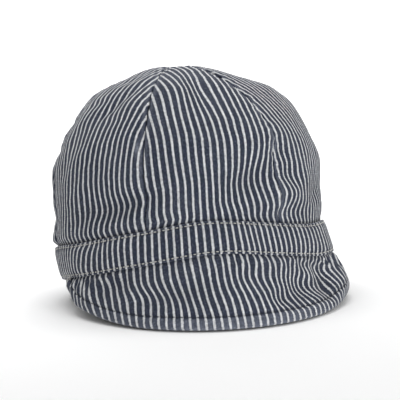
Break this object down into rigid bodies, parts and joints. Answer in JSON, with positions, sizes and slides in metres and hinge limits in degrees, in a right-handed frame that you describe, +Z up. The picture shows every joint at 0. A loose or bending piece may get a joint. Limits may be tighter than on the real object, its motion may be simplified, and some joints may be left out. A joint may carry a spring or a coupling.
{
  "type": "striped six-gore work cap",
  "caption": "Soft round-crowned cap of striped work cotton, with sewn gores meeting at the top, a sewn-on band and a short soft peak of two cloths; it stands by itself on its rim and peak.",
  "frame": {"origin": "middle of the whole cap's box, on the surface that it stands on", "axes": "+Z up from that surface; the peak points toward -Y; +X is the wearer's left side"},
  "size_m": [0.1862, 0.2366, 0.1529],
  "materials": {
    "crown_cloth": "matt navy cotton drill with narrow off-white stripes, washed and faded at the seams",
    "band_cloth": "matt navy cotton drill with narrow off-white stripes, topstitched along both edges",
    "peak_cloth": "matt navy cotton drill with narrow off-white stripes, worn pale along the outer edge"
  },
  "bodies": {
    "root": {"crown_gore_front": "crown_cloth", "crown_gore_front_right": "crown_cloth", "crown_gore_back_right": "crown_cloth", "crown_gore_back": "crown_cloth", "crown_gore_back_left": "crown_cloth", "crown_gore_front_left": "crown_cloth", "band": "band_cloth", "peak_top": "peak_cloth", "peak_under": "peak_cloth"}
  },
  "joints": []
}
